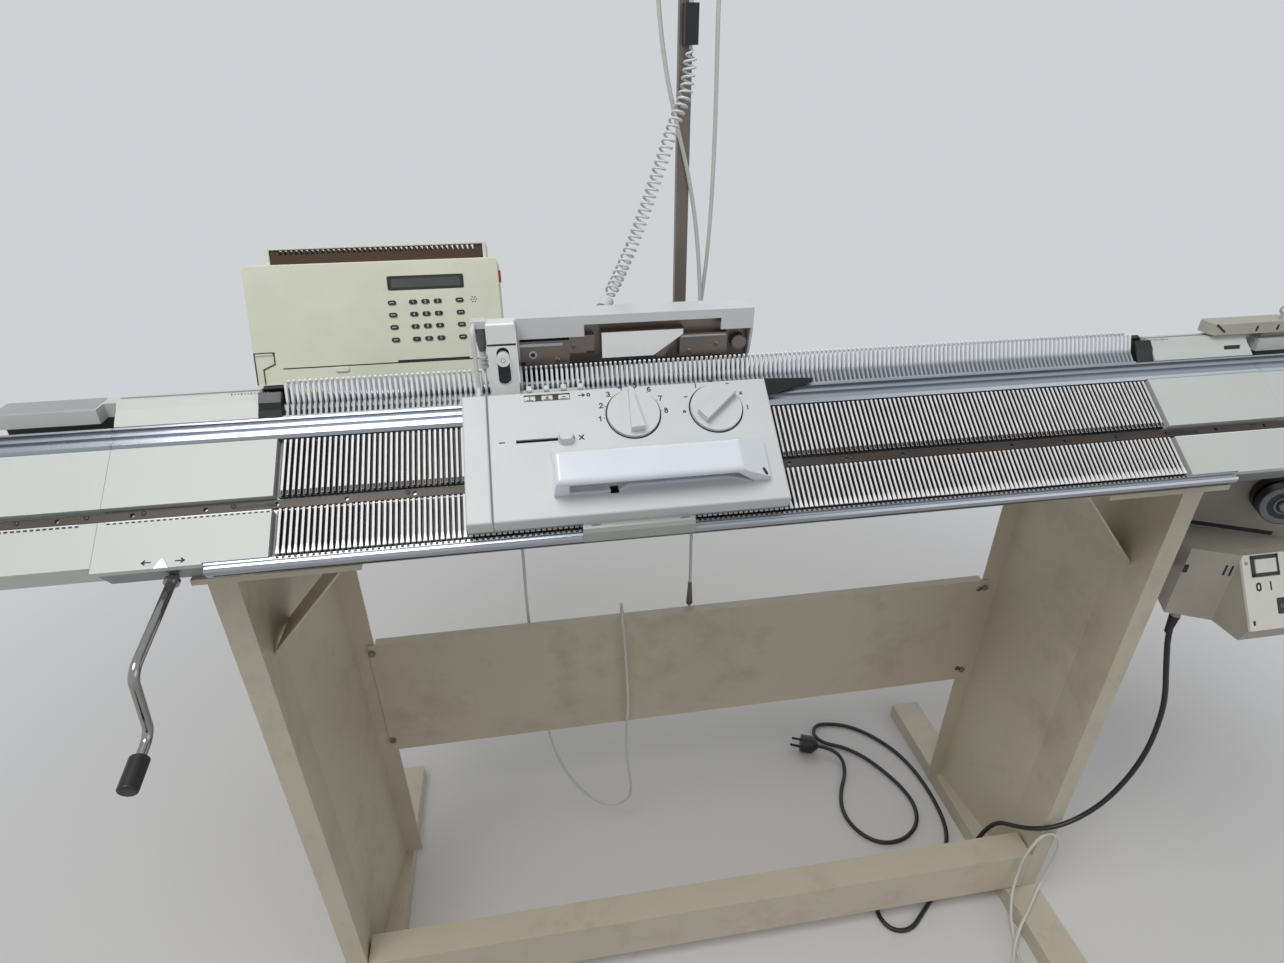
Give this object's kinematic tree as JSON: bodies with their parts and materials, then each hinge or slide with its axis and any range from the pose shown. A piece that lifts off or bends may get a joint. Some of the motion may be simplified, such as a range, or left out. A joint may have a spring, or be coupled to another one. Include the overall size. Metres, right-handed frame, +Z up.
{
  "type": "domestic knitting machine",
  "caption": "Double-bed knitting machine on a steel stand, with a sliding lock, racking crank, control console, cable mast and drive motor.",
  "frame": {"origin": "on the floor, midway between the ends of the two foot bars", "axes": "+X along the beds to the knitter's right, +Y away from the knitter, +Z up"},
  "size_m": [1.52, 0.62, 1.33],
  "materials": {
    "stand_paint": "semi-gloss cream paint with chips",
    "bed_metal": "extruded",
    "rail_metal": "brushed",
    "strip_steel": "browned steel",
    "slot_white": "moulded ribs",
    "comb_grey": "moulded fingers",
    "panel_white": "moulded",
    "black_plastic": "moulded",
    "lock_plastic": "fine texture",
    "handle_plastic": "glossy",
    "button_plastic": "glossy",
    "plate_steel": "satin",
    "post_metal": "satin",
    "chrome": "bright",
    "console_cream": "fine texture",
    "tray_brown": "moulded ribs",
    "red_plastic": "glossy",
    "motor_grey": "satin",
    "switch_white": "glossy",
    "mast_metal": "dark bronze",
    "cable_white": "flexible cable",
    "cable_dark": "flexible cable",
    "coil_white": "curly cable",
    "cable_grey": "moulded sleeve"
  },
  "bodies": {
    "machine": {"left_leg": "stand_paint", "right_leg": "stand_paint", "foot_bars": "stand_paint", "front_beam": "stand_paint", "back_panel": "stand_paint", "bed_supports": "stand_paint", "stand_screws": "chrome", "front_bed_body": "bed_metal", "front_slots": "slot_white", "front_comb": "comb_grey", "front_rail": "rail_metal", "upper_rail": "rail_metal", "steel_strip": "strip_steel", "end_panels": "panel_white", "run_outs": "panel_white", "front_end_blocks": "black_plastic", "console_case": "console_cream", "console_tray": "tray_brown", "console_keypad": "black_plastic", "console_arm": "stand_paint", "motor_housing": "motor_grey", "motor_switch_plate": "switch_white", "console_cable": "cable_white", "motor_cord": "cable_dark", "motor_plug": "black_plastic", "foot_cable": "cable_white"},
    "back_bed": {"back_bed_body": "bed_metal", "back_comb": "comb_grey", "back_rails": "rail_metal", "back_end_covers": "panel_white", "back_end_blocks": "black_plastic", "yarn_changer": "panel_white", "mast": "mast_metal", "lock_cord_plug": "black_plastic", "mast_cable": "cable_white", "cable_joint": "cable_grey", "side_cable": "cable_white"},
    "lock": {"lock_cover": "lock_plastic", "lock_end_cover": "lock_plastic", "lock_frame": "plate_steel", "lock_handle": "handle_plastic", "bridge_post": "post_metal", "yarn_feeder": "lock_plastic", "back_lock_cover": "lock_plastic", "back_lock_plates": "plate_steel", "lock_cord": "coil_white"},
    "crank_knob": {"crank_knob": "black_plastic"},
    "racking_pointer": {"racking_pointer": "plate_steel"},
    "console_switch": {"console_switch": "red_plastic"},
    "motor_rocker": {"motor_rocker": "switch_white"},
    "motor_pulley": {"motor_pulley": "black_plastic"},
    "stitch_dial": {"stitch_dial": "lock_plastic"},
    "pattern_dial": {"pattern_dial": "lock_plastic"},
    "push_button_1": {"push_button_1": "button_plastic"},
    "push_button_2": {"push_button_2": "button_plastic"},
    "push_button_3": {"push_button_3": "button_plastic"},
    "push_button_4": {"push_button_4": "button_plastic"},
    "slide_lever": {"slide_lever": "lock_plastic"},
    "bridge_knob": {"bridge_knob": "post_metal"},
    "crank": {"crank_rod": "chrome"}
  },
  "joints": [
    {"name": "racking_slide", "type": "slide", "parent": "machine", "child": "back_bed", "axis": [1, 0, 0], "range_m": [-0.015, 0.015]},
    {"name": "crank_turn", "type": "hinge", "parent": "machine", "child": "crank", "pos_m": [-0.54, -0.1219, 0.80447], "axis": [0, -0.9781, -0.2079], "range_deg": [-1080, 1080]},
    {"name": "crank_knob_spin", "type": "hinge", "parent": "crank", "child": "crank_knob", "pos_m": [-0.55775, -0.22752, 0.70017], "axis": [0, -0.9781, -0.2079], "continuous": true},
    {"name": "pointer_turn", "type": "hinge", "parent": "machine", "child": "racking_pointer", "pos_m": [-0.537, -0.13813, 0.82767], "axis": [0, -0.6018, 0.7986], "range_deg": [-12, 12]},
    {"name": "lock_slide", "type": "slide", "parent": "machine", "child": "lock", "axis": [1, 0, 0], "range_m": [-0.47, 0.505], "deforming": ["lock_cord"]},
    {"name": "stitch_dial_turn", "type": "hinge", "parent": "lock", "child": "stitch_dial", "pos_m": [-0.122, -0.06951, 0.90693], "axis": [0, -0.6018, 0.7986], "range_deg": [-160, 150]},
    {"name": "pattern_dial_turn", "type": "hinge", "parent": "lock", "child": "pattern_dial", "pos_m": [-0.041, -0.06951, 0.90693], "axis": [0, -0.6018, 0.7986], "range_deg": [-100, 210]},
    {"name": "button_1_press", "type": "slide", "parent": "lock", "child": "push_button_1", "axis": [0, 0.6018, -0.7986], "range_m": [0, 0.003], "stiffness_N_per_m": 250},
    {"name": "button_2_press", "type": "slide", "parent": "lock", "child": "push_button_2", "axis": [0, 0.6018, -0.7986], "range_m": [0, 0.003], "stiffness_N_per_m": 250},
    {"name": "button_3_press", "type": "slide", "parent": "lock", "child": "push_button_3", "axis": [0, 0.6018, -0.7986], "range_m": [0, 0.003], "stiffness_N_per_m": 250},
    {"name": "button_4_press", "type": "slide", "parent": "lock", "child": "push_button_4", "axis": [0, 0.6018, -0.7986], "range_m": [0, 0.003], "stiffness_N_per_m": 250},
    {"name": "lever_slide", "type": "slide", "parent": "lock", "child": "slide_lever", "axis": [1, 0, 0], "range_m": [-0.0405, 0]},
    {"name": "bridge_clamp_slide", "type": "slide", "parent": "lock", "child": "bridge_knob", "axis": [0, 0, 1], "range_m": [-0.0215, 0.0039]},
    {"name": "console_switch_tip", "type": "hinge", "parent": "machine", "child": "console_switch", "pos_m": [-0.247, 0.22793, 0.97149], "axis": [0, -0.9397, 0.342], "range_deg": [-6, 6]},
    {"name": "motor_rocker_tip", "type": "hinge", "parent": "machine", "child": "motor_rocker", "pos_m": [0.625, -0.12081, 0.67902], "axis": [1, 0, 0], "range_deg": [-6, 6]},
    {"name": "motor_pulley_spin", "type": "hinge", "parent": "machine", "child": "motor_pulley", "pos_m": [0.65154, -0.07678, 0.75], "axis": [-0.454, -0.891, 0], "continuous": true}
  ],
  "couplings": [
    {"joint": "crank_turn", "follows": "racking_slide", "rad_per_m": 1256.6},
    {"joint": "pointer_turn", "follows": "racking_slide", "rad_per_m": -13.963}
  ]
}
